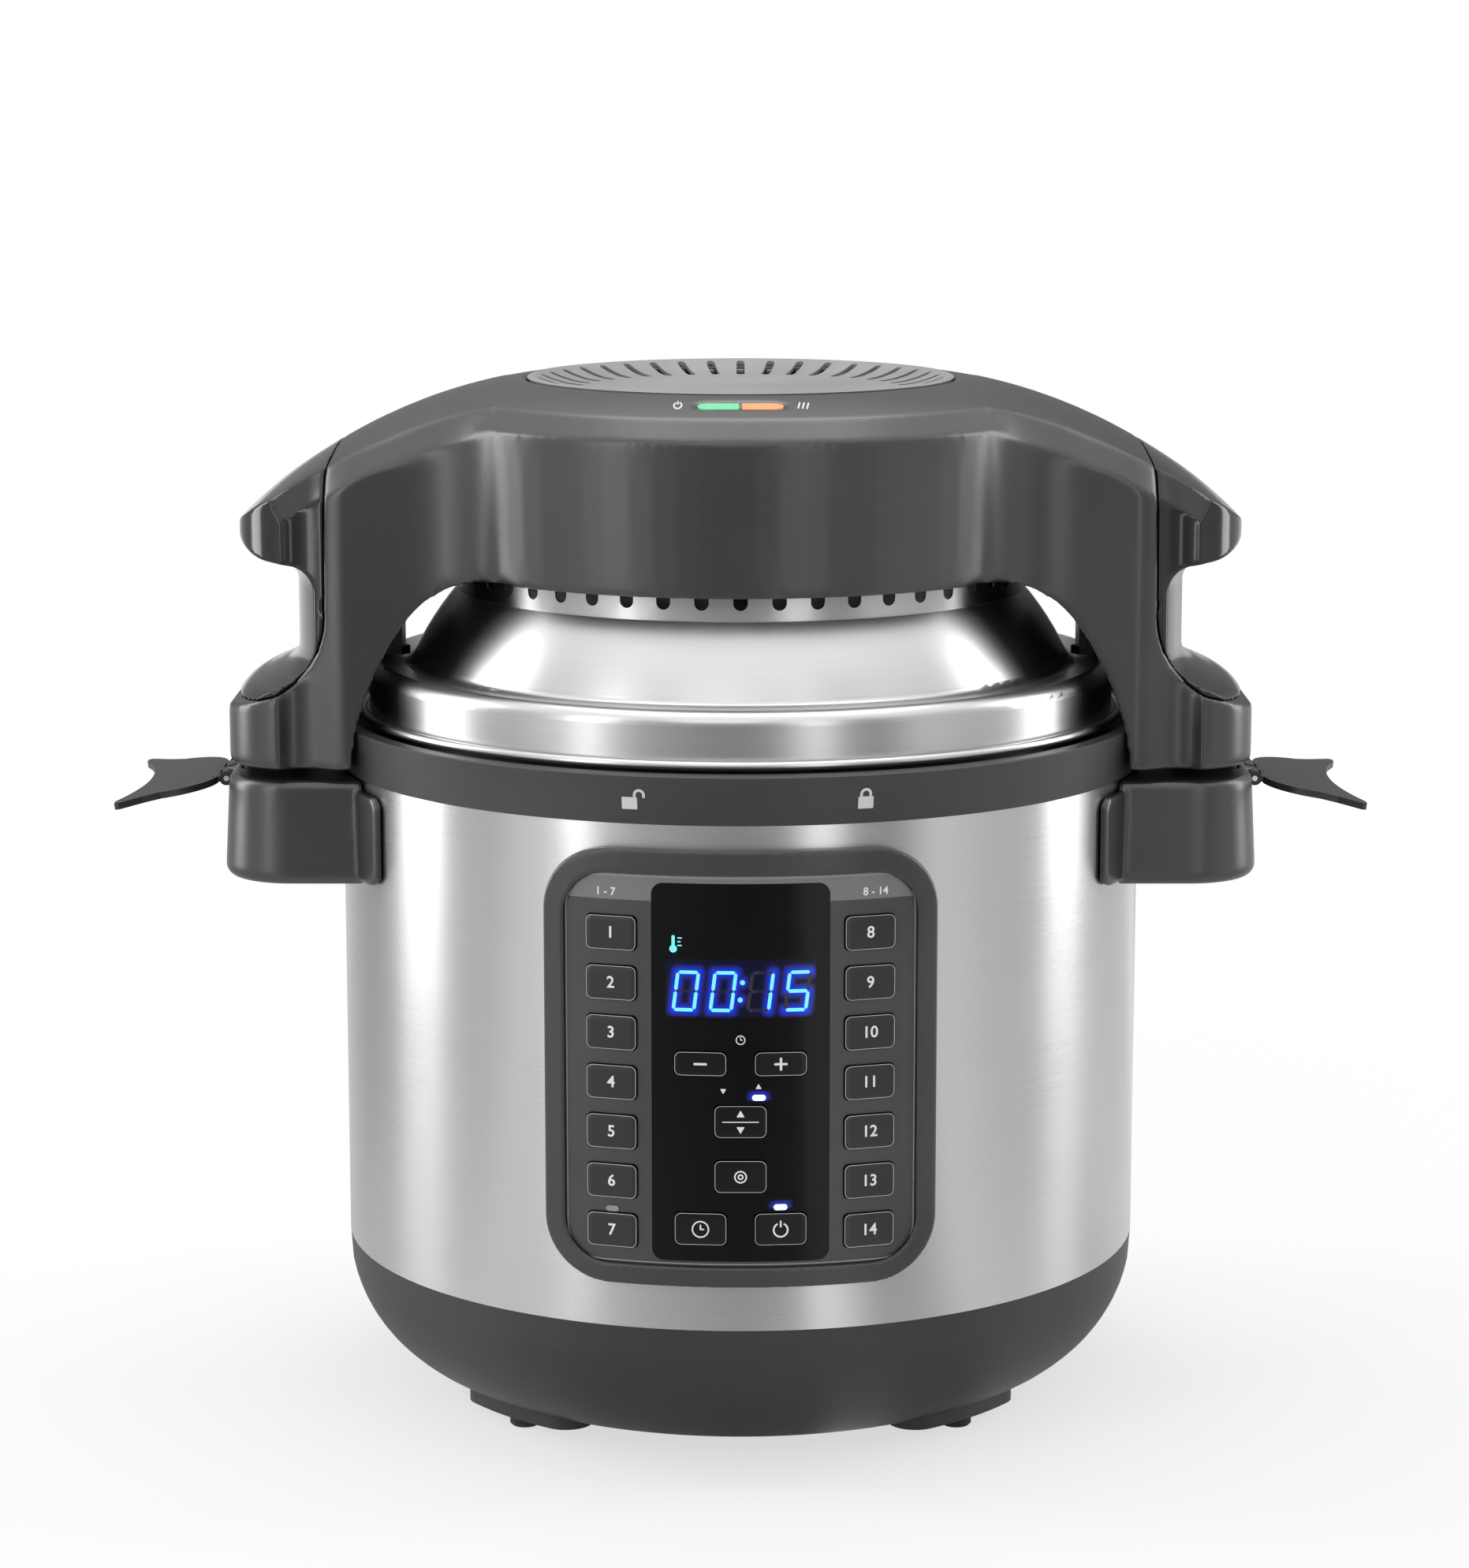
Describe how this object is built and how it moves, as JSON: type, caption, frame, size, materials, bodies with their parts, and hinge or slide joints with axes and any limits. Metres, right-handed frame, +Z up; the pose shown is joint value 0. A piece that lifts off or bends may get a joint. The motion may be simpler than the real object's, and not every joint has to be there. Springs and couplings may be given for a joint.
{
  "type": "electric multi-cooker with crisping lid",
  "caption": "Round electric multi-cooker: steel-sided base with key panel, hinged connector covers and a domed air-frying lid with two grips.",
  "frame": {"origin": "on the table under the middle of the round body", "axes": "+Z up, -Y towards the control panel, +X to the right seen from the panel"},
  "size_m": [0.4496, 0.2986, 0.3753],
  "materials": {
    "charcoal_plastic": "fine satin moulding",
    "collar_plastic": "fine matt moulding",
    "gloss_black": "polished",
    "brushed_shell": "brushed round the axis",
    "spun_steel": "spun satin",
    "pot_steel": "satin",
    "aluminium": "plain",
    "foot_rubber": "plain",
    "silicone": "plain",
    "panel_grey": "satin film",
    "key_plastic": "satin dome with a light outline",
    "dark_glass": "polished dark window",
    "light_pipe": "frosted light pipe",
    "lens_colour": "green and amber lenses",
    "disc_grey": "satin grey",
    "socket_black": "plain",
    "circuit_board": "board with parts",
    "pin_steel": "plain",
    "coil_steel": "oxidised tube",
    "motor_steel": "zinc plated can"
  },
  "bodies": {
    "base": {"base_bowl": "charcoal_plastic", "rubber_feet": "foot_rubber", "power_inlet": "socket_black", "outer_shell": "brushed_shell", "collar_ring": "collar_plastic", "pot_well": "aluminium", "heating_plate": "aluminium", "sensor_guide": "socket_black", "inner_pot": "pot_steel", "handle_right": "charcoal_plastic", "handle_left": "charcoal_plastic", "lid_sockets": "socket_black", "hinge_pins": "pin_steel", "panel_bezel": "charcoal_plastic", "panel_face": "panel_grey", "display_glass": "dark_glass", "status_lights": "light_pipe", "digit_module": "circuit_board", "control_board": "circuit_board", "power_board": "circuit_board"},
    "lid": {"lid_housing": "charcoal_plastic", "grip_right": "gloss_black", "grip_left": "gloss_black", "vent_disc": "disc_grey", "signal_lenses": "lens_colour", "lid_skirt": "spun_steel", "lid_gasket": "silicone", "heat_shield": "aluminium", "vent_ring": "spun_steel", "fan_motor": "motor_steel", "heating_coil": "coil_steel", "guard_grille": "spun_steel", "lid_brackets": "socket_black", "lid_plugs": "socket_black"},
    "fans": {"convection_fan": "aluminium", "cooling_fan": "socket_black"},
    "flap_right": {"flap_right": "socket_black"},
    "flap_left": {"flap_left": "socket_black"},
    "sensor": {"thermal_sensor": "aluminium"},
    "key_left_1": {"key_left_1": "key_plastic"},
    "key_left_2": {"key_left_2": "key_plastic"},
    "key_left_3": {"key_left_3": "key_plastic"},
    "key_left_4": {"key_left_4": "key_plastic"},
    "key_left_5": {"key_left_5": "key_plastic"},
    "key_left_6": {"key_left_6": "key_plastic"},
    "key_left_7": {"key_left_7": "key_plastic"},
    "key_right_1": {"key_right_1": "key_plastic"},
    "key_right_2": {"key_right_2": "key_plastic"},
    "key_right_3": {"key_right_3": "key_plastic"},
    "key_right_4": {"key_right_4": "key_plastic"},
    "key_right_5": {"key_right_5": "key_plastic"},
    "key_right_6": {"key_right_6": "key_plastic"},
    "key_right_7": {"key_right_7": "key_plastic"},
    "key_minus": {"key_minus": "key_plastic"},
    "key_plus": {"key_plus": "key_plastic"},
    "key_centre_1": {"key_centre_1": "key_plastic"},
    "key_centre_2": {"key_centre_2": "key_plastic"},
    "key_delay": {"key_delay": "key_plastic"},
    "key_start": {"key_start": "key_plastic"}
  },
  "joints": [
    {"name": "lid_lift", "type": "slide", "parent": "base", "child": "lid", "axis": [0, 0, 1], "range_m": [0, 0.12]},
    {"name": "fan_spin", "type": "hinge", "parent": "lid", "child": "fans", "pos_m": [0, 0, 0.28], "axis": [0, 0, 1], "continuous": true},
    {"name": "flap_right_fold", "type": "hinge", "parent": "base", "child": "flap_right", "pos_m": [0.18784, 0, 0.2255], "axis": [0, -1, 0], "range_deg": [0, 92]},
    {"name": "flap_left_fold", "type": "hinge", "parent": "base", "child": "flap_left", "pos_m": [-0.18784, 0, 0.2255], "axis": [0, 1, 0], "range_deg": [0, 92]},
    {"name": "sensor_press", "type": "slide", "parent": "base", "child": "sensor", "axis": [0, 0, 1], "range_m": [-0.002, 0], "stiffness_N_per_m": 400, "springref_m": 0.003},
    {"name": "key_left_1_press", "type": "slide", "parent": "base", "child": "key_left_1", "axis": [-0.294, -0.9558, 0], "range_m": [-0.0006, 0], "stiffness_N_per_m": 600, "springref_m": 0.0005},
    {"name": "key_left_2_press", "type": "slide", "parent": "base", "child": "key_left_2", "axis": [-0.294, -0.9558, 0], "range_m": [-0.0006, 0], "stiffness_N_per_m": 600, "springref_m": 0.0005},
    {"name": "key_left_3_press", "type": "slide", "parent": "base", "child": "key_left_3", "axis": [-0.294, -0.9558, 0], "range_m": [-0.0006, 0], "stiffness_N_per_m": 600, "springref_m": 0.0005},
    {"name": "key_left_4_press", "type": "slide", "parent": "base", "child": "key_left_4", "axis": [-0.294, -0.9558, 0], "range_m": [-0.0006, 0], "stiffness_N_per_m": 600, "springref_m": 0.0005},
    {"name": "key_left_5_press", "type": "slide", "parent": "base", "child": "key_left_5", "axis": [-0.294, -0.9558, 0], "range_m": [-0.0006, 0], "stiffness_N_per_m": 600, "springref_m": 0.0005},
    {"name": "key_left_6_press", "type": "slide", "parent": "base", "child": "key_left_6", "axis": [-0.294, -0.9558, 0], "range_m": [-0.0006, 0], "stiffness_N_per_m": 600, "springref_m": 0.0005},
    {"name": "key_left_7_press", "type": "slide", "parent": "base", "child": "key_left_7", "axis": [-0.294, -0.9558, 0], "range_m": [-0.0006, 0], "stiffness_N_per_m": 600, "springref_m": 0.0005},
    {"name": "key_right_1_press", "type": "slide", "parent": "base", "child": "key_right_1", "axis": [0.294, -0.9558, 0], "range_m": [-0.0006, 0], "stiffness_N_per_m": 600, "springref_m": 0.0005},
    {"name": "key_right_2_press", "type": "slide", "parent": "base", "child": "key_right_2", "axis": [0.294, -0.9558, 0], "range_m": [-0.0006, 0], "stiffness_N_per_m": 600, "springref_m": 0.0005},
    {"name": "key_right_3_press", "type": "slide", "parent": "base", "child": "key_right_3", "axis": [0.294, -0.9558, 0], "range_m": [-0.0006, 0], "stiffness_N_per_m": 600, "springref_m": 0.0005},
    {"name": "key_right_4_press", "type": "slide", "parent": "base", "child": "key_right_4", "axis": [0.294, -0.9558, 0], "range_m": [-0.0006, 0], "stiffness_N_per_m": 600, "springref_m": 0.0005},
    {"name": "key_right_5_press", "type": "slide", "parent": "base", "child": "key_right_5", "axis": [0.294, -0.9558, 0], "range_m": [-0.0006, 0], "stiffness_N_per_m": 600, "springref_m": 0.0005},
    {"name": "key_right_6_press", "type": "slide", "parent": "base", "child": "key_right_6", "axis": [0.294, -0.9558, 0], "range_m": [-0.0006, 0], "stiffness_N_per_m": 600, "springref_m": 0.0005},
    {"name": "key_right_7_press", "type": "slide", "parent": "base", "child": "key_right_7", "axis": [0.294, -0.9558, 0], "range_m": [-0.0006, 0], "stiffness_N_per_m": 600, "springref_m": 0.0005},
    {"name": "key_minus_press", "type": "slide", "parent": "base", "child": "key_minus", "axis": [-0.0912, -0.9958, 0], "range_m": [-0.0006, 0], "stiffness_N_per_m": 600, "springref_m": 0.0005},
    {"name": "key_plus_press", "type": "slide", "parent": "base", "child": "key_plus", "axis": [0.0912, -0.9958, 0], "range_m": [-0.0006, 0], "stiffness_N_per_m": 600, "springref_m": 0.0005},
    {"name": "key_centre_1_press", "type": "slide", "parent": "base", "child": "key_centre_1", "axis": [0, -1, 0], "range_m": [-0.0006, 0], "stiffness_N_per_m": 600, "springref_m": 0.0005},
    {"name": "key_centre_2_press", "type": "slide", "parent": "base", "child": "key_centre_2", "axis": [0, -1, 0], "range_m": [-0.0006, 0], "stiffness_N_per_m": 600, "springref_m": 0.0005},
    {"name": "key_delay_press", "type": "slide", "parent": "base", "child": "key_delay", "axis": [-0.0912, -0.9958, 0], "range_m": [-0.0006, 0], "stiffness_N_per_m": 600, "springref_m": 0.0005},
    {"name": "key_start_press", "type": "slide", "parent": "base", "child": "key_start", "axis": [0.0912, -0.9958, 0], "range_m": [-0.0006, 0], "stiffness_N_per_m": 600, "springref_m": 0.0005}
  ]
}
